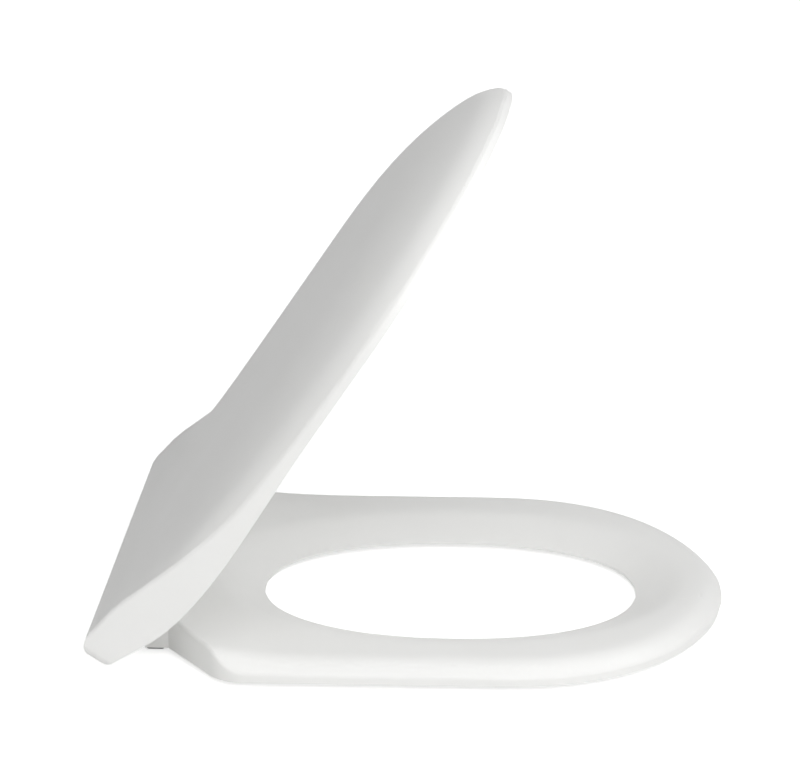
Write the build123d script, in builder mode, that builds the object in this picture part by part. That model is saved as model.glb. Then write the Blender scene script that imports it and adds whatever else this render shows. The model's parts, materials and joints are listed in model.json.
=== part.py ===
from build123d import *
from math import cos, exp, hypot, pi, sin, sqrt
import os

# A toilet seat: a pillow-section ring and a wrap-over lid, both on one hinge line.
# X runs along the hinge, -Y to the front and +Z up, with the origin on the pan, midway between the sockets.
# Lengths are in millimetres. "Reach" is the distance forward of the hinge line.
# Every piece of the lid is modelled with the lid shut and then swung up to the angle it stands at.

# Ring, plan view
ring_half_width = 175
ring_front_reach = 428
side_end_reach = 250
front_fullness_long = 2.44
front_fullness_wide = 1.79
ear_half_width = 116
ear_length = 15
deck_rear_reach = 25
corner_reach = 68.5
corner_radius = 30

# Seat opening
hole_half_width = 96
hole_centre_reach = 228
hole_rear_length = 143
hole_front_length = 136
hole_fullness = 2.15

# Ring, section: heights above the underside of the ring
ring_edge_height = 9
crest_height = 16.5
crest_softness = 3
lip_height = 2
deck_height = 27
deck_blend_reach = 150
deck_blend_power = 2.6
outer_round = 20
outer_power = 2.4
inner_slope = 34
ring_edge_round = 3
ring_hollow_depth = 7
ring_outer_rib = 10
ring_inner_rib = 26
ring_rear_rib = 20

# Hinge line
hinge_height = 34
pin_radius = 5
running_clearance = 0.05
seat_clearance = 0.03
side_gap = 1
knuckle_radius = 15
knuckle_clearance = 1
ear_rear_reach = 8
ear_root_reach = 44
bush_wall = 1.5
socket_spacing = 155
socket_radius = 5
socket_depth = 21
sleeve_wall = 1.5
block_margin = 3.5
block_flat = 13
block_chamfer = 0.8
pin_chamfer = 0.6
grub_radius = 2
grub_length = 8

# Lid, plan view and section: heights above the underside of the ring
lid_angle = 56
lid_overlap = 9
lid_wall = 5
lid_rear_corner = 7
rim_height = 4.7
rim_flat_reach = 195
cheek_reach = 10
cheek_height = 16
skirt_height = 15
crown_height = 44.5
crown_front_fall = 3
hump_rise = 7.6
hump_length = 80
shoulder_width = 150
shoulder_power = 3.2
square_reach = 22
square_blend = 78
square_power = 1.3
nose_wall = 3.5
nose_foot_height = 30
nose_round = 12
nose_foot_round = 11
lid_edge_round = 3
stud_notch_height = 39
stud_notch_width = 18
stud_notch_reach = 6

# Lid knuckles and dampers
lid_knuckle_length = 40
lid_knuckle_gap = 2
damper_radius = 9
damper_length = 36
damper_grip = 24
web_root = 1
web_cover = 3
web_front = 5

# Buffers
buffer_height = 4
buffer_radius = 9
lid_buffer_height = 6
stem_radius = 3
stem_length = 6
boss_wall = 3
boss_root = 2.5
landing_gap = 0.4
front_buffer_place = (88, 372)
side_buffer_place = (138, 170)
lid_front_buffer_place = (62, 388)
lid_rear_buffer_place = (130, 150)
rear_pad_inset = 7
rear_pad_length = 13
rear_pad_width = 7
rear_pad_round = 2
buffer_chamfer = 0.8

# Drawing steps of the curves and surfaces
front_steps = 10
sample_steps = 40
rim_steps = 12
section_pitch = 13
surface_margin = 14
under_depth = 120
least_ratio = 0.01

# Places that follow from the sizes above
ring_bottom = buffer_height
lid_half_width = ring_half_width + lid_overlap
lid_front_reach = ring_front_reach + lid_overlap
corner_run = ring_half_width - ear_half_width
corner_rise = corner_reach - deck_rear_reach
corner_length = hypot(corner_run, corner_rise)
ear_inner = ear_half_width - ear_length
block_outer = ear_inner - side_gap
socket_x = socket_spacing / 2
sleeve_radius = socket_radius + sleeve_wall
socket_bore = sleeve_radius + seat_clearance
block_inner = socket_x - socket_bore - block_margin
pin_start = socket_x + socket_bore + bush_wall
lid_knuckle_inner = ear_half_width + lid_knuckle_gap
pin_end = lid_knuckle_inner + damper_grip
pin_bore = pin_radius + running_clearance
bush_radius = pin_bore + bush_wall
block_floor = hinge_height - block_flat
grub_x = (pin_start + block_outer) / 2
hollow_radius = knuckle_radius + knuckle_clearance
nose_reach = hollow_radius + nose_wall
nose_height = crown_height + hump_rise
boss_radius = stem_radius + boss_wall
hinge_axis = Axis((0, 0, hinge_height), (-1, 0, 0))
sides = {"left": -1, "right": 1}


def steps(low, high, count):
    """Evenly spaced values from low to high."""
    return [low + (high - low) * i / count for i in range(count + 1)]


def front_curve(half_width, front_reach, count):
    """Points of the rounded front, from the end of the straight side to the tip, as (x, reach)."""
    points = []
    for turn in steps(0, pi / 2, count):
        across = half_width * max(cos(turn), 0) ** (2 / front_fullness_wide)
        ahead = (front_reach - side_end_reach) * sin(turn) ** (2 / front_fullness_long)
        points.append((across, side_end_reach + ahead))
    return points


def hole_quarter(length, grow, count):
    """Points of a quarter of the seat opening, from its widest place to its end, as (x, distance)."""
    points = []
    for turn in steps(0, pi / 2, count):
        across = (hole_half_width + grow) * max(cos(turn), 0) ** (2 / hole_fullness)
        along = (length + grow) * sin(turn) ** (2 / hole_fullness)
        points.append((across, along))
    return points


def distance_to(points, x, reach):
    """The distance to a run of straight pieces, more than zero on its left."""
    best = None
    for (ax, ay), (bx, by) in zip(points, points[1:]):
        dx, dy = bx - ax, by - ay
        share = ((x - ax) * dx + (reach - ay) * dy) / (dx * dx + dy * dy)
        share = min(max(share, 0), 1)
        gap = hypot(x - ax - share * dx, reach - ay - share * dy)
        turn = dx * (reach - ay) - dy * (x - ax)
        if best is None or gap < abs(best):
            best = gap if turn >= 0 else -gap
    return best


def edge_distance(curve, half_width, x, reach):
    """How far a point lies inside the straight sides and the rounded front."""
    if reach < side_end_reach:
        return half_width - abs(x)
    return distance_to(curve, abs(x), reach)


def soft_min(a, b, softness):
    """The smaller of two values, with the change from one to the other rounded."""
    return (a + b - sqrt((a - b) ** 2 + softness**2)) / 2


def level_off(distance):
    """A distance from an edge that levels off a margin beyond it."""
    return -soft_min(-distance, surface_margin, surface_margin / 2)


ring_curve = front_curve(ring_half_width, ring_front_reach, sample_steps)
lid_curve = front_curve(lid_half_width, lid_front_reach, sample_steps)


def hole_distance(x, reach):
    """How far a point lies outside the seat opening, levelling off within it."""
    ahead = reach - hole_centre_reach
    length = hole_front_length if ahead > 0 else hole_rear_length
    u, v = abs(x) / hole_half_width, abs(ahead) / length
    ratio = max((u**hole_fullness + v**hole_fullness) ** (1 / hole_fullness), least_ratio)
    slope_x = (u / ratio) ** (hole_fullness - 1) / hole_half_width
    slope_y = (v / ratio) ** (hole_fullness - 1) / length
    return level_off((ratio - 1) / hypot(slope_x, slope_y))


def ring_top(x, reach):
    """The height of the ring's upper surface: a rounded edge, a crest and a slope to the opening."""
    outside = level_off(edge_distance(ring_curve, ring_half_width, x, reach))
    rise = max(deck_blend_reach - reach, 0) / (deck_blend_reach - deck_rear_reach)
    crest = crest_height + (deck_height - crest_height) * rise**deck_blend_power
    outer = crest - (crest - ring_edge_height) * max(1 - outside / outer_round, 0) ** outer_power
    inner = lip_height + (crest - lip_height) * hole_distance(x, reach) / inner_slope
    return ring_bottom + soft_min(outer, inner, crest_softness)


def lid_top(x, reach):
    """The height of the shut lid: square-edged over the hinge, with soft shoulders further forward."""
    inside = level_off(edge_distance(lid_curve, lid_half_width, x, reach))
    crown = crown_height + hump_rise * max(1 - reach / hump_length, 0) ** 2
    ahead = max(reach - side_end_reach, 0) / (lid_front_reach - side_end_reach)
    crown -= crown_front_fall * ahead**2
    softness = 1 - exp(-((max(reach - square_reach, 0) / square_blend) ** square_power))
    drop = (crown - skirt_height) * softness
    return ring_bottom + crown - drop * max(1 - inside / shoulder_width, 0) ** shoulder_power


def under_surface(height, half_width, rear_reach, front_reach, lower=0):
    """The space under a smooth surface, lofted through cross-sections that stand along the seat."""
    columns = round(2 * half_width / section_pitch)
    rows = round((front_reach - rear_reach) / section_pitch)
    with BuildPart() as space:
        for reach in steps(rear_reach, front_reach, rows):
            top = [Vector(x, height(x, reach) - lower) for x in steps(-half_width, half_width, columns)]
            with BuildSketch(Plane.XZ.offset(reach)):
                with BuildLine():
                    add(Edge.make_spline(top, parameters=steps(0, 1, columns)))
                    Polyline(top[-1], (half_width, -under_depth), (-half_width, -under_depth), top[0])
                make_face()
        loft()
    return space.part


def under_ring():
    """The space under the ring's upper surface."""
    front = ring_front_reach + surface_margin
    return under_surface(ring_top, ring_half_width + surface_margin, 0, front)


def under_lid(lower):
    """The space under the shut lid's upper surface, or under one that lies a wall below it."""
    rear = -nose_reach - surface_margin
    front = lid_front_reach + surface_margin
    return under_surface(lid_top, lid_half_width + surface_margin, rear, front, lower)


def to_plan(points):
    """Points given as (x, reach) in the plan view's own coordinates."""
    return [(x, -reach) for x, reach in points]


def ring_plan(inset, rear_reach):
    """The ring's outline in plan, moved inwards by a rib."""
    half_width = ring_half_width - inset
    slack = inset * corner_length
    corner = deck_rear_reach + ((half_width - ear_half_width) * corner_rise + slack) / corner_run
    rear_end = ear_half_width + ((rear_reach - deck_rear_reach) * corner_run - slack) / corner_rise
    with BuildSketch() as plan:
        with BuildLine():
            Spline(
                to_plan(front_curve(half_width, ring_front_reach - inset, front_steps)),
                tangents=[(0, -1), (-1, 0)],
            )
            FilletPolyline(
                (half_width, -side_end_reach),
                (half_width, -corner),
                (rear_end, -rear_reach),
                radius=corner_radius,
            )
            Line((rear_end, -rear_reach), (0, -rear_reach))
            mirror(about=Plane.YZ)
        make_face()
    return plan.sketch


def hole_plan(grow):
    """The seat opening in plan, moved outwards by a rib."""
    front = hole_quarter(hole_front_length, grow, front_steps)
    rear = hole_quarter(hole_rear_length, grow, front_steps)
    with BuildSketch() as plan:
        with BuildLine():
            Spline([(x, -hole_centre_reach - y) for x, y in front], tangents=[(0, -1), (-1, 0)])
            Spline([(x, -hole_centre_reach + y) for x, y in rear], tangents=[(0, 1), (-1, 0)])
            mirror(about=Plane.YZ)
        make_face()
    return plan.sketch


def lid_plan(inset, rear_reach):
    """The lid's outline in plan, moved inwards by a wall and cut square at the rear."""
    half_width = lid_half_width - inset
    with BuildSketch() as plan:
        with BuildLine():
            Spline(
                to_plan(front_curve(half_width, lid_front_reach - inset, front_steps)),
                tangents=[(0, -1), (-1, 0)],
            )
            FilletPolyline(
                (half_width, -side_end_reach),
                (half_width, -rear_reach),
                (0, -rear_reach),
                radius=lid_rear_corner,
            )
            mirror(about=Plane.YZ)
        make_face()
    return plan.sketch


def opened(piece):
    """A piece of the shut lid, swung up round the hinge line."""
    return piece.rotate(hinge_axis, lid_angle)


def both_sides(place):
    """A place on the right and its mirror image on the left, as (name, x, reach)."""
    return [(name, side * place[0], place[1]) for name, side in sides.items()]


def landing_height(x, reach):
    """The highest place of the ring under a lid buffer."""
    rim = [
        ring_top(x + buffer_radius * cos(turn), reach + buffer_radius * sin(turn))
        for turn in steps(0, 2 * pi, rim_steps)
    ]
    return max(rim + [ring_top(x, reach)]) + landing_gap


os.makedirs("parts", exist_ok=True)

# Seat ring: a moulding with a hollow underside, bosses for its buffers and two ears on the hinge line
ring_buffers = {"front": front_buffer_place, "side": side_buffer_place}

with BuildPart() as seat_ring:
    with BuildSketch(Plane.XY.offset(ring_bottom)):
        add(ring_plan(0, deck_rear_reach))
        add(hole_plan(0), mode=Mode.SUBTRACT)
    extrude(amount=deck_height + surface_margin)
    add(under_ring(), mode=Mode.INTERSECT)
    top_face = seat_ring.faces().filter_by(GeomType.BSPLINE).sort_by(SortBy.AREA)[-1]
    fillet(top_face.edges().sort_by(Axis.Y)[0], ring_edge_round)
    with BuildSketch(Plane.XY.offset(ring_bottom)):
        add(ring_plan(ring_outer_rib, deck_rear_reach + ring_rear_rib))
        add(hole_plan(ring_inner_rib), mode=Mode.SUBTRACT)
    extrude(amount=ring_hollow_depth, mode=Mode.SUBTRACT)
    for place in ring_buffers.values():
        for name, x, reach in both_sides(place):
            with BuildSketch(Plane.XY.offset(ring_bottom)):
                with Locations((x, -reach)):
                    Circle(boss_radius)
            extrude(amount=ring_hollow_depth + boss_root)
            with BuildSketch(Plane.XY.offset(ring_bottom)):
                with Locations((x, -reach)):
                    Circle(stem_radius + seat_clearance)
            extrude(amount=stem_length + seat_clearance, mode=Mode.SUBTRACT)
    for side in sides.values():
        with BuildSketch(Plane.YZ.offset(side * ear_inner)):
            with Locations((0, hinge_height)):
                Circle(knuckle_radius)
            with BuildLine():
                Polyline(
                    (0, hinge_height),
                    (-ear_rear_reach, hinge_height),
                    (-ear_rear_reach, ring_bottom),
                    (-ear_root_reach, ring_bottom),
                    (-ear_root_reach, ring_bottom + crest_height),
                    (-knuckle_radius * sin(pi / 4), hinge_height + knuckle_radius * cos(pi / 4)),
                    close=True,
                )
            make_face()
        extrude(amount=side * ear_length)
        with BuildSketch(Plane.YZ.offset(side * ear_inner)):
            with Locations((0, hinge_height)):
                Circle(bush_radius + seat_clearance)
        extrude(amount=side * ear_length, mode=Mode.SUBTRACT)

seat_ring.part.label = "seat_ring"
export_step(seat_ring.part, "parts/seat_ring.step")

# Lid: a shell with a skirt all round, a nose over the hinge and two knuckles that hold the dampers
lid_buffers = {"front": lid_front_buffer_place, "rear": lid_rear_buffer_place}

with BuildPart() as lid_hollow:
    with BuildSketch(Plane.XY):
        add(lid_plan(lid_wall, 0))
    extrude(amount=ring_bottom + nose_height)
    add(under_lid(lid_wall), mode=Mode.INTERSECT)
    with BuildSketch(Plane.YZ):
        with Locations((0, hinge_height)):
            Circle(hollow_radius)
    extrude(amount=lid_half_width - lid_wall, both=True)

with BuildPart() as lid:
    with BuildSketch(Plane.XY):
        add(lid_plan(0, -nose_reach))
    extrude(amount=ring_bottom + nose_height + surface_margin)
    with BuildSketch(Plane.YZ) as side_view:
        front = -lid_front_reach - surface_margin
        top = ring_bottom + nose_height + 2 * surface_margin
        cheek = (-cheek_reach, ring_bottom + cheek_height)
        foot = (nose_reach, ring_bottom + nose_foot_height)
        with BuildLine():
            Spline(
                (-rim_flat_reach, ring_bottom + rim_height),
                cheek,
                tangents=[(1, 0), (foot[0] - cheek[0], foot[1] - cheek[1])],
            )
            Polyline(
                cheek,
                foot,
                (nose_reach, ring_bottom + nose_height),
                (-cheek_reach, ring_bottom + nose_height),
                (-cheek_reach, top),
                (front, top),
                (front, ring_bottom + rim_height),
                (-rim_flat_reach, ring_bottom + rim_height),
            )
        make_face()
        fillet(side_view.vertices().group_by(Axis.X)[-1].sort_by(Axis.Y)[-1], nose_round)
        fillet(side_view.vertices().group_by(Axis.X)[-1].sort_by(Axis.Y)[0], nose_foot_round)
    extrude(amount=lid_half_width + surface_margin, both=True, mode=Mode.INTERSECT)
    add(under_lid(0), mode=Mode.INTERSECT)
    top_face = lid.faces().filter_by(GeomType.BSPLINE).sort_by(SortBy.AREA)[-1]
    fillet(top_face.edges().sort_by(Axis.Y)[0], lid_edge_round)
    add(lid_hollow.part, mode=Mode.SUBTRACT)
    for side in sides.values():
        with BuildSketch(Plane.YZ.offset(side * lid_knuckle_inner)):
            with Locations((0, hinge_height)):
                Circle(knuckle_radius)
            with BuildLine():
                Polyline(
                    (knuckle_radius, hinge_height),
                    (hollow_radius + web_root, hinge_height + web_cover),
                    (hollow_radius, hinge_height + knuckle_radius - web_cover),
                    (nose_reach - nose_round, ring_bottom + nose_height - web_cover),
                    (-web_front, ring_bottom + nose_height - web_cover),
                    (-knuckle_radius, hinge_height + web_front + web_cover),
                    (-knuckle_radius, hinge_height),
                    close=True,
                )
            make_face()
        extrude(amount=side * lid_knuckle_length)
        with BuildSketch(Plane.YZ.offset(side * lid_knuckle_inner)):
            with Locations((0, hinge_height)):
                Circle(damper_radius + seat_clearance)
        extrude(amount=side * (damper_length + seat_clearance), mode=Mode.SUBTRACT)
        with BuildSketch(Plane.XZ.offset(-nose_reach - surface_margin)):
            with Locations((side * socket_x, ring_bottom + stud_notch_height / 2)):
                Rectangle(stud_notch_width, stud_notch_height)
        extrude(amount=nose_reach + surface_margin - stud_notch_reach, mode=Mode.SUBTRACT)
    for place in lid_buffers.values():
        for name, x, reach in both_sides(place):
            foot = landing_height(x, reach) + lid_buffer_height
            with BuildSketch(Plane.XY.offset(foot)):
                with Locations((x, -reach)):
                    Circle(boss_radius)
            extrude(amount=lid_top(x, reach) - boss_root - foot)
            with BuildSketch(Plane.XY.offset(foot)):
                with Locations((x, -reach)):
                    Circle(stem_radius + seat_clearance)
            extrude(amount=stem_length + seat_clearance, mode=Mode.SUBTRACT)

lid.part = opened(lid.part)
lid.part.label = "lid"
export_step(lid.part, "parts/lid.step")

# Hinge blocks, their sockets and pins: what stays on the pan when the ring and the lid turn
for name, side in sides.items():
    with BuildPart() as hinge_block:
        with BuildSketch(Plane.YZ.offset(side * block_inner)):
            with Locations((0, hinge_height)):
                Circle(knuckle_radius)
            with Locations((0, block_floor - knuckle_radius)):
                Rectangle(2 * knuckle_radius, 2 * knuckle_radius, mode=Mode.SUBTRACT)
        extrude(amount=side * (block_outer - block_inner))
        chamfer(hinge_block.edges().filter_by(GeomType.CIRCLE), block_chamfer)
        with BuildSketch(Plane.XY.offset(block_floor)):
            with Locations((side * socket_x, 0)):
                Circle(socket_bore)
        extrude(amount=socket_depth, mode=Mode.SUBTRACT)
        with BuildSketch(Plane.YZ.offset(side * pin_start)):
            with Locations((0, hinge_height)):
                Circle(pin_radius + seat_clearance)
        extrude(amount=side * (block_outer - pin_start), mode=Mode.SUBTRACT)
        with BuildSketch(Plane.XY.offset(hinge_height)):
            with Locations((side * grub_x, 0)):
                Circle(grub_radius + seat_clearance)
        extrude(amount=knuckle_radius, mode=Mode.SUBTRACT)
    hinge_block.part.label = f"hinge_block_{name}"
    export_step(hinge_block.part, f"parts/hinge_block_{name}.step")

    with BuildPart() as socket_sleeve:
        with BuildSketch(Plane.XY.offset(block_floor)):
            with Locations((side * socket_x, 0)):
                Circle(sleeve_radius)
                Circle(socket_radius, mode=Mode.SUBTRACT)
        extrude(amount=socket_depth)
    socket_sleeve.part.label = f"socket_sleeve_{name}"
    export_step(socket_sleeve.part, f"parts/socket_sleeve_{name}.step")

    with BuildPart() as hinge_pin:
        with BuildSketch(Plane.YZ.offset(side * pin_start)):
            with Locations((0, hinge_height)):
                Circle(pin_radius)
        extrude(amount=side * (pin_end - pin_start))
        chamfer(hinge_pin.edges(), pin_chamfer)
    hinge_pin.part.label = f"hinge_pin_{name}"
    export_step(hinge_pin.part, f"parts/hinge_pin_{name}.step")

    with BuildPart() as grub_screw:
        with BuildSketch(Plane.XY.offset(hinge_height + pin_radius)):
            with Locations((side * grub_x, 0)):
                Circle(grub_radius)
        extrude(amount=grub_length)
        with BuildSketch(Plane.XY.offset(hinge_height + pin_radius + grub_length)):
            with Locations((side * grub_x, 0)):
                RegularPolygon(grub_radius / 2, 6)
        extrude(amount=-grub_radius, mode=Mode.SUBTRACT)
    grub_screw.part.label = f"grub_screw_{name}"
    export_step(grub_screw.part, f"parts/grub_screw_{name}.step")

# Bushes in the ring's ears and damper cartridges in the lid's knuckles, all on the hinge pins
for name, side in sides.items():
    with BuildPart() as ring_bush:
        with BuildSketch(Plane.YZ.offset(side * ear_inner)):
            with Locations((0, hinge_height)):
                Circle(bush_radius)
                Circle(pin_bore, mode=Mode.SUBTRACT)
        extrude(amount=side * ear_length)
    ring_bush.part.label = f"ring_bush_{name}"
    export_step(ring_bush.part, f"parts/ring_bush_{name}.step")

    with BuildPart() as lid_damper:
        with BuildSketch(Plane.YZ.offset(side * lid_knuckle_inner)):
            with Locations((0, hinge_height)):
                Circle(damper_radius)
        extrude(amount=side * damper_length)
        with BuildSketch(Plane.YZ.offset(side * lid_knuckle_inner)):
            with Locations((0, hinge_height)):
                Circle(pin_bore)
        extrude(amount=side * (damper_grip + side_gap), mode=Mode.SUBTRACT)
    lid_damper.part = opened(lid_damper.part)
    lid_damper.part.label = f"lid_damper_{name}"
    export_step(lid_damper.part, f"parts/lid_damper_{name}.step")

# Buffers with stems: under the ring they stand on the pan, under the lid they land on the ring
for pair, place in ring_buffers.items():
    for name, x, reach in both_sides(place):
        with BuildPart() as ring_buffer:
            with BuildSketch(Plane.XY):
                with Locations((x, -reach)):
                    Circle(buffer_radius)
            extrude(amount=buffer_height)
            chamfer(ring_buffer.edges().group_by(Axis.Z)[0], buffer_chamfer)
            with BuildSketch(Plane.XY.offset(buffer_height)):
                with Locations((x, -reach)):
                    Circle(stem_radius)
            extrude(amount=stem_length)
        ring_buffer.part.label = f"{pair}_buffer_{name}"
        export_step(ring_buffer.part, f"parts/{pair}_buffer_{name}.step")

for pair, place in lid_buffers.items():
    for name, x, reach in both_sides(place):
        foot = landing_height(x, reach)
        with BuildPart() as lid_buffer:
            with BuildSketch(Plane.XY.offset(foot)):
                with Locations((x, -reach)):
                    Circle(buffer_radius)
            extrude(amount=lid_buffer_height)
            chamfer(lid_buffer.edges().group_by(Axis.Z)[0], buffer_chamfer)
            with BuildSketch(Plane.XY.offset(foot + lid_buffer_height)):
                with Locations((x, -reach)):
                    Circle(stem_radius)
            extrude(amount=stem_length)
        lid_buffer.part = opened(lid_buffer.part)
        lid_buffer.part.label = f"lid_{pair}_buffer_{name}"
        export_step(lid_buffer.part, f"parts/lid_{pair}_buffer_{name}.step")

# Rear pads: soft strips under the ring's ears
for name, side in sides.items():
    with BuildPart() as rear_pad:
        with BuildSketch(Plane.XY):
            pad_x = ear_half_width - rear_pad_inset - rear_pad_width / 2
            pad_reach = ear_rear_reach + rear_pad_length / 2
            with Locations((side * pad_x, -pad_reach)):
                RectangleRounded(rear_pad_width, rear_pad_length, rear_pad_round)
        extrude(amount=buffer_height)
    rear_pad.part.label = f"rear_pad_{name}"
    export_step(rear_pad.part, f"parts/rear_pad_{name}.step")
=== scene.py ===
import json
import math

import bpy
from mathutils import Matrix, Vector
from mathutils.geometry import intersect_point_line
from mathutils.kdtree import KDTree


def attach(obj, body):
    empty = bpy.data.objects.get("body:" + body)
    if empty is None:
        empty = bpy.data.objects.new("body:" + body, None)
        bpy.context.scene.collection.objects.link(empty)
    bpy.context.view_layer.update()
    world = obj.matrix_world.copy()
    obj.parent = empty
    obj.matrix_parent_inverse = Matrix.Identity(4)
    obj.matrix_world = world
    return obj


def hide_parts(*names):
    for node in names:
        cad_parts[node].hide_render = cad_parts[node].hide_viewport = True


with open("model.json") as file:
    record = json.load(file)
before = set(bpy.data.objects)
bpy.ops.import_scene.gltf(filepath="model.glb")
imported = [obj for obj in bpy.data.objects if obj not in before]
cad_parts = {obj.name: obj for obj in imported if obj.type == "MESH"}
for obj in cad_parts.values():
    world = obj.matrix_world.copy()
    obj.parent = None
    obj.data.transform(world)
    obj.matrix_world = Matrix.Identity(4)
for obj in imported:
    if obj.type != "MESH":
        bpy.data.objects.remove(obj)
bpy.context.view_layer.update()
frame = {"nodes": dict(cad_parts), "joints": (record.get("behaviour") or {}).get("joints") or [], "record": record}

# A white toilet seat with its lid standing half open, seen from its left side.
# Lengths are in metres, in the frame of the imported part: -Y is the front, +Z is up.

MM = 0.001

# The ring's and the lid's tops, as the solids have them. Reaches go forward from the hinge line, and heights are
# those with the lid shut.
SIDE_END = 250 * MM
FRONT_FULLNESS_LONG = 2.44
FRONT_FULLNESS_WIDE = 1.79
EDGE_MARGIN = 14 * MM
EDGE_STEPS = 400
RING_BOTTOM = 4 * MM

# Lid
LID_HALF_WIDTH = 184 * MM
LID_FRONT = 437 * MM
SKIRT_HEIGHT = 15 * MM
CROWN_HEIGHT = 44.5 * MM
CROWN_FRONT_FALL = 3 * MM
HUMP_RISE = 7.6 * MM
HUMP_LENGTH = 80 * MM
SHOULDER_WIDTH = 150 * MM
SHOULDER_POWER = 3.2
SQUARE_REACH = 22 * MM
SQUARE_BLEND = 78 * MM
SQUARE_POWER = 1.3

# Ring
RING_HALF_WIDTH = 175 * MM
RING_FRONT = 428 * MM
RING_EDGE_HEIGHT = 9 * MM
CREST_HEIGHT = 16.5 * MM
CREST_SOFTNESS = 3 * MM
OUTER_ROUND = 20 * MM
OUTER_POWER = 2.4
INNER_SLOPE = 34 * MM
LIP_HEIGHT = 2 * MM
DECK_HEIGHT = 27 * MM
DECK_REAR = 25 * MM
DECK_BLEND = 150 * MM
DECK_BLEND_POWER = 2.6
HOLE_HALF_WIDTH = 96 * MM
HOLE_CENTRE = 228 * MM
HOLE_REAR_LENGTH = 143 * MM
HOLE_FRONT_LENGTH = 136 * MM
HOLE_FULLNESS = 2.15
LEAST_RATIO = 0.01

# Their rolled edges: how far in and down the roll goes, and the heights between which it grows
LID_ROLL = {"width": 20 * MM, "drop": 5 * MM, "power": 2.6, "low": 8.7 * MM, "high": 19 * MM}
LID_ROLL_START = 45 * MM
LID_ROLL_FULL = 130 * MM
RING_ROLL = {"width": 14 * MM, "drop": 3 * MM, "power": 2.4, "low": 6 * MM, "high": 13 * MM}
BAND_MARGIN = 8 * MM
BAND_CUTS = 3
SURFACE_SLACK = 0.2 * MM
MERGE_GAP = 0.001 * MM
SHARP_ANGLE = 32

# Buffers and pads
BUFFER_RADIUS = 9 * MM
BUFFER_SIDES = 64
RING_BUFFER_HEIGHT = 4 * MM
LID_BUFFER_HEIGHT = 6 * MM
BUFFER_ROUND = 0.8 * MM
BUFFER_RIM = 2.2 * MM
DISH_SLOPE = 1.4 * MM
DISH_DEPTH = 0.6 * MM
STEM_RADIUS = 3 * MM
STEM_LENGTH = 6 * MM
PAD_SIZE = Vector((7, 13, 4)) * MM
PAD_CORNER = 2 * MM
PAD_ROUND = 0.5 * MM
ROUND_STEPS = 4
UPRIGHT = 0.99

# Finishes: the sizes of their patterns
DUROPLAST_CLOUD = 70 * MM
DUROPLAST_POLISH = 22 * MM
ZINC_SKIN = 6 * MM
ZINC_RELIEF = 0.05 * MM
STEEL_MARKS = 1.2 * MM
WAVE_SPACING = math.pi / 10  # between a wave texture's bands at a scale of 1
ACETAL_GRAIN = 1.2 * MM
ACETAL_RELIEF = 0.04 * MM
ELASTOMER_GRAIN = 0.8 * MM
ELASTOMER_RELIEF = 0.06 * MM

# Camera: the place, aim and tilt that put the seat where the photograph shows it
CAMERA_PLACE = Vector((-1.7556, -0.2415, 0.7210))
CAMERA_AIM = Vector((0.9532, 0.0301, -0.3009))
CAMERA_TILT = 0.003
CAMERA_LENS = 112.5
SENSOR_WIDTH = 36

# Floor and light
FLOOR_SIZE = 12
FLOOR_WHITE = "#f4f4f3"
FLOOR_LIFT_NEAR = 0.62
FLOOR_LIFT_FAR = 0.95
FLOOR_NEAR = 0.5
FLOOR_FAR = 2.2
STUDIO_WHITE = "#ffffff"
WORLD_LIGHT = 0.15
LAMPS = {
    "key_lamp": {"place": (-2.6, -1.1, 1.25), "size": 2, "power": 17},
    "front_lamp": {"place": (-0.4, -2.3, 1.9), "size": 1.4, "power": 23},
    "near_lamp": {"place": (-1.2, -0.2, 1.15), "size": 1.3, "power": 10.9},
    "top_lamp": {"place": (-0.2, -0.6, 2.4), "size": 1.6, "power": 4.5},
    "back_lamp": {"place": (0.5, 2, 1.8), "size": 1.6, "power": 2.5},
}
LAMP_AIM = (0, -0.2, 0.15)


def linear(colour):
    """An sRGB hex colour as linear red, green, blue and alpha."""
    channels = [int(colour[i : i + 2], 16) / 255 for i in (1, 3, 5)]
    return [c / 12.92 if c <= 0.04045 else ((c + 0.055) / 1.055) ** 2.4 for c in channels] + [1]


def add_node(tree, kind, inputs=None, **settings):
    """Adds a node. Each input is a value for the socket, or another node's output to link to it."""
    node = tree.nodes.new(kind)
    for name, value in settings.items():
        setattr(node, name, value)
    for name, value in (inputs or {}).items():
        if isinstance(value, bpy.types.NodeSocket):
            tree.links.new(value, node.inputs[name])
        else:
            node.inputs[name].default_value = value
    return node


def new_material(name):
    """An empty material with its node tree and output."""
    material = bpy.data.materials.new(name)
    material.use_nodes = True
    material.node_tree.nodes.clear()
    output = add_node(material.node_tree, "ShaderNodeOutputMaterial")
    return material, material.node_tree, output


# Urea-formaldehyde (duroplast), hot-pressed in a polished steel mould: a dense neutral white with an even,
# slightly soft gloss. The faint cloud in the colour and the gloss is the moulding powder's flow.
def white_duroplast():
    material, tree, output = new_material("white_duroplast")
    place = add_node(tree, "ShaderNodeTexCoord").outputs["Object"]
    flow = add_node(tree, "ShaderNodeTexNoise", {"Vector": place, "Scale": 1 / DUROPLAST_CLOUD, "Detail": 3})
    colour = add_node(tree, "ShaderNodeValToRGB", {"Fac": flow.outputs["Fac"]})
    colour.color_ramp.elements[0].color = linear("#f0f0ee")
    colour.color_ramp.elements[1].color = linear("#f3f3f2")
    polish = add_node(tree, "ShaderNodeTexNoise", {"Vector": place, "Scale": 1 / DUROPLAST_POLISH, "Detail": 2})
    gloss = add_node(
        tree,
        "ShaderNodeMapRange",
        {"Value": polish.outputs["Fac"], "To Min": 0.44, "To Max": 0.52},
    )
    shader = add_node(
        tree,
        "ShaderNodeBsdfPrincipled",
        {"Base Color": colour.outputs["Color"], "Roughness": gloss.outputs["Result"], "IOR": 1.5},
    )
    tree.links.new(shader.outputs["BSDF"], output.inputs["Surface"])
    return material


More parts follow.
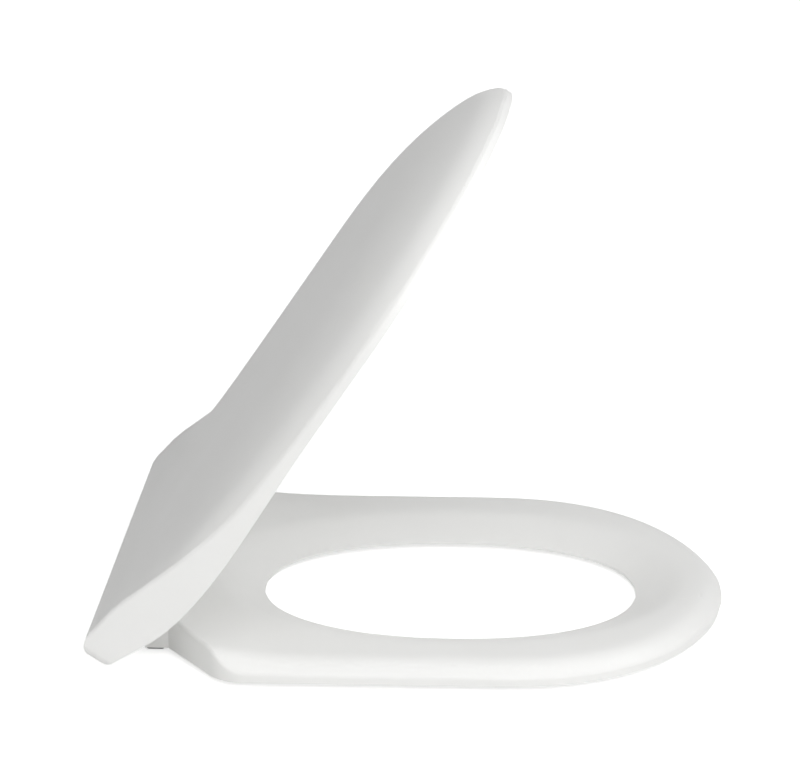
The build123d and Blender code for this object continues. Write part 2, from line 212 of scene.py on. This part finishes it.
# Die-cast zinc, polished and chromed: a bright, slightly cool mirror. The soft unevenness under the chrome is
# the casting's own skin.
def chromed_zinc():
    material, tree, output = new_material("chromed_zinc")
    place = add_node(tree, "ShaderNodeTexCoord").outputs["Object"]
    skin = add_node(tree, "ShaderNodeTexNoise", {"Vector": place, "Scale": 1 / ZINC_SKIN, "Detail": 2})
    gloss = add_node(
        tree,
        "ShaderNodeMapRange",
        {"Value": skin.outputs["Fac"], "To Min": 0.08, "To Max": 0.16},
    )
    bump = add_node(
        tree,
        "ShaderNodeBump",
        {"Height": skin.outputs["Fac"], "Strength": 0.15, "Distance": ZINC_RELIEF},
    )
    shader = add_node(
        tree,
        "ShaderNodeBsdfPrincipled",
        {
            "Base Color": linear("#d3d6d9"),
            "Metallic": 1,
            "Roughness": gloss.outputs["Result"],
            "Normal": bump.outputs["Normal"],
        },
    )
    tree.links.new(shader.outputs["BSDF"], output.inputs["Surface"])
    return material


# Stainless bar, turned on a lathe: fine rings round the pin. Real tool marks are 0.1 mm apart; they are drawn
# 1.2 mm apart so that they show.
def turned_steel():
    material, tree, output = new_material("turned_steel")
    place = add_node(tree, "ShaderNodeTexCoord").outputs["Object"]
    marks = add_node(
        tree,
        "ShaderNodeTexWave",
        {"Vector": place, "Scale": WAVE_SPACING / STEEL_MARKS, "Distortion": 0.4, "Detail": 2},
        wave_type="BANDS",
        bands_direction="X",
    )
    gloss = add_node(
        tree,
        "ShaderNodeMapRange",
        {"Value": marks.outputs["Fac"], "To Min": 0.24, "To Max": 0.4},
    )
    shader = add_node(
        tree,
        "ShaderNodeBsdfPrincipled",
        {"Base Color": linear("#b9bbbd"), "Metallic": 1, "Roughness": gloss.outputs["Result"]},
    )
    tree.links.new(shader.outputs["BSDF"], output.inputs["Surface"])
    return material


# Acetal, injection moulded: waxy off-white with a satin, finely grained skin.
def moulded_acetal():
    material, tree, output = new_material("moulded_acetal")
    place = add_node(tree, "ShaderNodeTexCoord").outputs["Object"]
    grain = add_node(tree, "ShaderNodeTexNoise", {"Vector": place, "Scale": 1 / ACETAL_GRAIN, "Detail": 2})
    colour = add_node(tree, "ShaderNodeValToRGB", {"Fac": grain.outputs["Fac"]})
    colour.color_ramp.elements[0].color = linear("#dcdbd6")
    colour.color_ramp.elements[1].color = linear("#e6e5e1")
    bump = add_node(
        tree,
        "ShaderNodeBump",
        {"Height": grain.outputs["Fac"], "Strength": 0.2, "Distance": ACETAL_RELIEF},
    )
    shader = add_node(
        tree,
        "ShaderNodeBsdfPrincipled",
        {
            "Base Color": colour.outputs["Color"],
            "Roughness": 0.42,
            "IOR": 1.48,
            "Normal": bump.outputs["Normal"],
        },
    )
    tree.links.new(shader.outputs["BSDF"], output.inputs["Surface"])
    return material


# Thermoplastic elastomer, injection moulded in a spark-eroded mould: matt, with a fine grain that breaks up light.
def matt_elastomer(name, shade, light):
    material, tree, output = new_material(name)
    place = add_node(tree, "ShaderNodeTexCoord").outputs["Object"]
    grain = add_node(tree, "ShaderNodeTexNoise", {"Vector": place, "Scale": 1 / ELASTOMER_GRAIN, "Detail": 3})
    colour = add_node(tree, "ShaderNodeValToRGB", {"Fac": grain.outputs["Fac"]})
    colour.color_ramp.elements[0].color = linear(shade)
    colour.color_ramp.elements[1].color = linear(light)
    bump = add_node(
        tree,
        "ShaderNodeBump",
        {"Height": grain.outputs["Fac"], "Strength": 0.35, "Distance": ELASTOMER_RELIEF},
    )
    shader = add_node(
        tree,
        "ShaderNodeBsdfPrincipled",
        {
            "Base Color": colour.outputs["Color"],
            "Roughness": 0.68,
            "IOR": 1.47,
            "Normal": bump.outputs["Normal"],
        },
    )
    tree.links.new(shader.outputs["BSDF"], output.inputs["Surface"])
    return material


finishes = {
    "duroplast": white_duroplast(),
    "zinc": chromed_zinc(),
    "steel": turned_steel(),
    "bearing_plastic": moulded_acetal(),
    "soft_white": matt_elastomer("white_elastomer", "#d5d5d2", "#dfdfdc"),
    "soft_dark": matt_elastomer("dark_elastomer", "#202123", "#2b2c2e"),
}
for subpart in frame["record"]["subparts"]:
    mesh = frame["nodes"][subpart["node"]].data
    mesh.materials.clear()
    mesh.materials.append(finishes[subpart["material_slot"]])


# Ring and lid: the solids' own mouldings, with the lines along their edges rolled over softly, as the photograph
# shows them. The lid is worked on shut, where its top is a height over the plan.
def plan_edge(half_width, front):
    """The edge of a moulding in plan: straight sides and a rounded front."""
    points = []
    for step in range(EDGE_STEPS + 1):
        turn = math.pi / 2 * step / EDGE_STEPS
        across = half_width * max(math.cos(turn), 0) ** (2 / FRONT_FULLNESS_WIDE)
        ahead = (front - SIDE_END) * math.sin(turn) ** (2 / FRONT_FULLNESS_LONG)
        points.append(Vector((across, SIDE_END + ahead, 0)))
    tree = KDTree(len(points))
    for index, point in enumerate(points):
        tree.insert(point, index)
    tree.balance()
    return {"half_width": half_width, "front": points, "tree": tree}


def inside_edge(edge, x, reach):
    """How far a place in plan lies inside a moulding's edge."""
    if reach < SIDE_END:
        return edge["half_width"] - abs(x)
    place = Vector((abs(x), reach, 0))
    nearest = edge["tree"].find(place)[1]
    gaps = []
    for first in (max(nearest - 1, 0), min(nearest, EDGE_STEPS - 1)):
        start, end = edge["front"][first : first + 2]
        share = intersect_point_line(place, start, end)[1]
        gaps.append((place - start.lerp(end, min(max(share, 0), 1))).length)
    return min(gaps)


def level_off(distance):
    """A distance from an edge that levels off a margin beyond it."""
    return (distance - EDGE_MARGIN + math.hypot(distance + EDGE_MARGIN, EDGE_MARGIN / 2)) / 2


def lid_top(inside, x, reach):
    """The height of the shut lid's upper surface, which depends on x only through the distance inside the edge."""
    crown = CROWN_HEIGHT + HUMP_RISE * max(1 - reach / HUMP_LENGTH, 0) ** 2
    crown -= CROWN_FRONT_FALL * (max(reach - SIDE_END, 0) / (LID_FRONT - SIDE_END)) ** 2
    softness = 1 - math.exp(-((max(reach - SQUARE_REACH, 0) / SQUARE_BLEND) ** SQUARE_POWER))
    drop = (crown - SKIRT_HEIGHT) * softness
    return RING_BOTTOM + crown - drop * max(1 - level_off(inside) / SHOULDER_WIDTH, 0) ** SHOULDER_POWER


def hole_distance(x, reach):
    """How far a place in plan lies outside the seat opening."""
    ahead = reach - HOLE_CENTRE
    length = HOLE_FRONT_LENGTH if ahead > 0 else HOLE_REAR_LENGTH
    u, v = abs(x) / HOLE_HALF_WIDTH, abs(ahead) / length
    ratio = max((u**HOLE_FULLNESS + v**HOLE_FULLNESS) ** (1 / HOLE_FULLNESS), LEAST_RATIO)
    slope_x = (u / ratio) ** (HOLE_FULLNESS - 1) / HOLE_HALF_WIDTH
    slope_y = (v / ratio) ** (HOLE_FULLNESS - 1) / length
    return level_off((ratio - 1) / math.hypot(slope_x, slope_y))


def ring_top(inside, x, reach):
    """The height of the ring's upper surface."""
    rise = max(DECK_BLEND - reach, 0) / (DECK_BLEND - DECK_REAR)
    crest = CREST_HEIGHT + (DECK_HEIGHT - CREST_HEIGHT) * rise**DECK_BLEND_POWER
    outer = crest - (crest - RING_EDGE_HEIGHT) * max(1 - level_off(inside) / OUTER_ROUND, 0) ** OUTER_POWER
    inner = LIP_HEIGHT + (crest - LIP_HEIGHT) * hole_distance(x, reach) / INNER_SLOPE
    return RING_BOTTOM + (outer + inner - math.hypot(outer - inner, CREST_SOFTNESS)) / 2


def roll(sizes, inside, height):
    """How far a place near an edge goes down."""
    above = min(max((height - sizes["low"]) / (sizes["high"] - sizes["low"]), 0), 1)
    return sizes["drop"] * above * max(1 - max(inside, 0) / sizes["width"], 0) ** sizes["power"]


def lid_roll(inside, reach, height):
    """The lid's roll, which fades out before the square end over the hinge."""
    along = min(max((reach - LID_ROLL_START) / (LID_ROLL_FULL - LID_ROLL_START), 0), 1)
    return along * along * (3 - 2 * along) * roll(LID_ROLL, inside, height)


def ring_roll(inside, reach, height):
    """The ring's roll, which goes all the way round."""
    return roll(RING_ROLL, inside, height)


def rolled_moulding(node, name, edge, top_height, edge_roll, sizes, laid_flat):
    """A copy of a moulding's solid, with finer faces near its edge, a smooth top and the edge rolled over."""
    mesh = frame["nodes"][node].data.copy()
    mesh.transform(laid_flat)
    moulding = bpy.data.objects.new(name, mesh)
    bpy.context.scene.collection.objects.link(moulding)
    bpy.ops.object.select_all(action="DESELECT")
    moulding.select_set(True)
    bpy.context.view_layer.objects.active = moulding
    bpy.ops.mesh.customdata_custom_splitnormals_clear()
    bpy.ops.object.mode_set(mode="EDIT")
    bpy.ops.mesh.select_all(action="SELECT")
    bpy.ops.mesh.remove_doubles(threshold=MERGE_GAP)
    bpy.ops.mesh.select_all(action="DESELECT")
    bpy.ops.object.mode_set(mode="OBJECT")
    in_band = []
    for vertex in mesh.vertices:
        x, y, z = vertex.co
        near = inside_edge(edge, x, -y) < sizes["width"] + BAND_MARGIN
        in_band.append(near and z > sizes["low"])
    for face in mesh.polygons:
        face.select = any(in_band[i] for i in face.vertices)
    bpy.ops.object.mode_set(mode="EDIT")
    bpy.ops.mesh.subdivide(number_cuts=BAND_CUTS, ngon=False)
    bpy.ops.object.mode_set(mode="OBJECT")
    for vertex in mesh.vertices:
        x, y, z = vertex.co
        inside = inside_edge(edge, x, -y)
        top = top_height(inside, x, -y)
        if y < 0 and abs(z - top) < SURFACE_SLACK:
            z = top
        vertex.co.z = z - edge_roll(inside, -y, z)
    bpy.ops.object.shade_smooth_by_angle(angle=math.radians(SHARP_ANGLE))
    mesh.transform(laid_flat.inverted())
    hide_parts(node)
    return moulding


ring_edge = plan_edge(RING_HALF_WIDTH, RING_FRONT)
ring = rolled_moulding("seat_ring", "ring_moulding", ring_edge, ring_top, ring_roll, RING_ROLL, Matrix())
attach(ring, "ring")

hinge = next(joint for joint in frame["joints"] if joint["name"] == "lid_hinge")
to_hinge = Matrix.Translation(hinge["pos_m"])
swing = Matrix.Rotation(math.radians(hinge["range_deg"][0]), 4, hinge["axis"])
shut = to_hinge @ swing @ to_hinge.inverted()
lid_edge = plan_edge(LID_HALF_WIDTH, LID_FRONT)
lid = rolled_moulding("lid", "lid_moulding", lid_edge, lid_top, lid_roll, LID_ROLL, shut)
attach(lid, "lid")


# Buffers and pads: small elastomer mouldings. Each kind is modelled once, standing on its face at the origin.
def pick_faces(mesh, chosen):
    """Goes into edit mode with the faces that pass a test selected."""
    bpy.ops.object.mode_set(mode="EDIT")
    bpy.ops.mesh.select_mode(type="FACE")
    bpy.ops.mesh.select_all(action="DESELECT")
    bpy.ops.object.mode_set(mode="OBJECT")
    for face in mesh.polygons:
        face.select = chosen(face)
    bpy.ops.object.mode_set(mode="EDIT")


def pick_edges(mesh, chosen):
    """Goes into edit mode with the edges selected whose two ends pass a test."""
    bpy.ops.object.mode_set(mode="EDIT")
    bpy.ops.mesh.select_mode(type="EDGE")
    bpy.ops.mesh.select_all(action="DESELECT")
    bpy.ops.object.mode_set(mode="OBJECT")
    for edge in mesh.edges:
        edge.select = chosen(*(mesh.vertices[i].co for i in edge.vertices))
    bpy.ops.object.mode_set(mode="EDIT")


def soft_buffer(height):
    """A buffer: a pad with a round rim and a dished face, and a stem that plugs into its boss."""
    bpy.ops.object.select_all(action="DESELECT")
    bpy.ops.mesh.primitive_cylinder_add(
        vertices=BUFFER_SIDES, radius=BUFFER_RADIUS, depth=height, location=(0, 0, height / 2)
    )
    bpy.ops.object.transform_apply(location=True, rotation=False, scale=False)
    buffer = bpy.context.object
    pick_faces(buffer.data, lambda face: face.normal.z > UPRIGHT)
    bpy.ops.mesh.inset(thickness=BUFFER_RADIUS - STEM_RADIUS)
    bpy.ops.mesh.extrude_region_move(TRANSFORM_OT_translate={"value": (0, 0, STEM_LENGTH)})
    pick_faces(buffer.data, lambda face: face.normal.z < -UPRIGHT)
    bpy.ops.mesh.inset(thickness=BUFFER_RIM)
    bpy.ops.mesh.inset(thickness=DISH_SLOPE)
    bpy.ops.transform.translate(value=(0, 0, DISH_DEPTH))
    rim_middle = BUFFER_RADIUS - BUFFER_RIM / 2
    pick_edges(buffer.data, lambda a, b: max(a.z, b.z) < MERGE_GAP and min(a.xy.length, b.xy.length) > rim_middle)
    bpy.ops.mesh.bevel(offset=BUFFER_ROUND, segments=ROUND_STEPS, affect="EDGES")
    bpy.ops.object.mode_set(mode="OBJECT")
    bpy.ops.object.shade_smooth_by_angle(angle=math.radians(SHARP_ANGLE))
    return buffer


def rear_pad():
    """A rear pad: an oblong block with round corners and a round foot."""
    bpy.ops.object.select_all(action="DESELECT")
    bpy.ops.mesh.primitive_cube_add(size=1, location=(0, 0, PAD_SIZE.z / 2), scale=PAD_SIZE)
    bpy.ops.object.transform_apply(location=True, rotation=False, scale=True)
    pad = bpy.context.object
    pick_edges(pad.data, lambda a, b: abs(a.z - b.z) > PAD_ROUND)
    bpy.ops.mesh.bevel(offset=PAD_CORNER, segments=2 * ROUND_STEPS, affect="EDGES")
    pick_edges(pad.data, lambda a, b: max(a.z, b.z) < MERGE_GAP)
    bpy.ops.mesh.bevel(offset=PAD_ROUND, segments=ROUND_STEPS, affect="EDGES")
    bpy.ops.object.mode_set(mode="OBJECT")
    bpy.ops.object.shade_smooth_by_angle(angle=math.radians(SHARP_ANGLE))
    return pad


def fit_copy(model, node, body, slot, laid_flat):
    """Puts a copy of a modelled piece where a node's solid stands."""
    places = [laid_flat @ vertex.co for vertex in frame["nodes"][node].data.vertices]
    low = [min(place[i] for place in places) for i in range(3)]
    high = [max(place[i] for place in places) for i in range(3)]
    foot = Matrix.Translation(((low[0] + high[0]) / 2, (low[1] + high[1]) / 2, low[2]))
    mesh = model.data.copy()
    mesh.transform(laid_flat.inverted() @ foot)
    mesh.materials.clear()
    mesh.materials.append(finishes[slot])
    piece = bpy.data.objects.new(node + "_moulding", mesh)
    bpy.context.scene.collection.objects.link(piece)
    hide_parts(node)
    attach(piece, body)


ring_buffer = soft_buffer(RING_BUFFER_HEIGHT)
lid_buffer = soft_buffer(LID_BUFFER_HEIGHT)
pad = rear_pad()
for side in ("left", "right"):
    for pair in ("front_buffer", "side_buffer"):
        fit_copy(ring_buffer, f"{pair}_{side}", "ring", "soft_white", Matrix())
    for pair in ("lid_front_buffer", "lid_rear_buffer"):
        fit_copy(lid_buffer, f"{pair}_{side}", "lid", "soft_white", shut)
    fit_copy(pad, f"rear_pad_{side}", "ring", "soft_dark", Matrix())
for model in (ring_buffer, lid_buffer, pad):
    bpy.data.objects.remove(model)

# Camera
data = bpy.data.cameras.new("camera")
data.lens = CAMERA_LENS
data.sensor_width = SENSOR_WIDTH
camera = bpy.data.objects.new("camera", data)
bpy.context.scene.collection.objects.link(camera)
turn = CAMERA_AIM.to_track_quat("-Z", "Y").to_matrix() @ Matrix.Rotation(CAMERA_TILT, 3, "Z")
camera.location = CAMERA_PLACE
camera.rotation_euler = turn.to_euler()
bpy.context.scene.camera = camera


def seen_directly(tree):
    """1 for a ray from the camera, a reflection or a clear material, and 0 for a ray that only lights."""
    rays = add_node(tree, "ShaderNodeLightPath").outputs
    seen = rays["Is Camera Ray"]
    for kind in ("Is Glossy Ray", "Is Transmission Ray"):
        seen = add_node(tree, "ShaderNodeMath", {0: seen, 1: rays[kind]}, operation="MAXIMUM").outputs[0]
    return seen


# The floor's paint is lit like anything else, so the seat's shadow falls on it. The camera and reflections see it
# lifted to white.
def pale_floor():
    material, tree, output = new_material("pale_floor")
    place = add_node(tree, "ShaderNodeTexCoord").outputs["Object"]
    distance = add_node(tree, "ShaderNodeVectorMath", {0: place}, operation="LENGTH")
    fade = add_node(
        tree,
        "ShaderNodeMapRange",
        {
            "Value": distance.outputs["Value"],
            "From Min": FLOOR_NEAR,
            "From Max": FLOOR_FAR,
            "To Min": FLOOR_LIFT_NEAR,
            "To Max": FLOOR_LIFT_FAR,
        },
    )
    lift = add_node(
        tree, "ShaderNodeMath", {0: seen_directly(tree), 1: fade.outputs["Result"]}, operation="MULTIPLY"
    )
    paint = add_node(tree, "ShaderNodeBsdfDiffuse", {"Color": linear(FLOOR_WHITE)})
    glow = add_node(
        tree, "ShaderNodeEmission", {"Color": linear(STUDIO_WHITE), "Strength": lift.outputs[0]}
    )
    both = add_node(tree, "ShaderNodeAddShader", {0: paint.outputs["BSDF"], 1: glow.outputs["Emission"]})
    tree.links.new(both.outputs["Shader"], output.inputs["Surface"])
    return material


bpy.ops.object.select_all(action="DESELECT")
bpy.ops.mesh.primitive_plane_add(size=FLOOR_SIZE)
floor = bpy.context.object
floor.name = "floor"
floor.data.materials.append(pale_floor())

# World: dim as a light, white to the camera and in reflections
world = bpy.data.worlds.new("studio")
bpy.context.scene.world = world
world.use_nodes = True
tree = world.node_tree
tree.nodes.clear()
lit = add_node(tree, "ShaderNodeBackground", {"Color": linear(STUDIO_WHITE), "Strength": WORLD_LIGHT})
white = add_node(tree, "ShaderNodeBackground", {"Color": linear(STUDIO_WHITE), "Strength": 1})
mix = add_node(
    tree,
    "ShaderNodeMixShader",
    {0: seen_directly(tree), 1: lit.outputs["Background"], 2: white.outputs["Background"]},
)
add_node(tree, "ShaderNodeOutputWorld", {"Surface": mix.outputs["Shader"]})

# Lamps: soft squares that look at the seat
for name, lamp in LAMPS.items():
    data = bpy.data.lights.new(name, "AREA")
    data.shape = "SQUARE"
    data.size = lamp["size"]
    data.energy = lamp["power"]
    light = bpy.data.objects.new(name, data)
    bpy.context.scene.collection.objects.link(light)
    light.location = lamp["place"]
    light.rotation_euler = (Vector(LAMP_AIM) - Vector(lamp["place"])).to_track_quat("-Z", "Y").to_euler()

bpy.context.scene.view_settings.view_transform = "Standard"
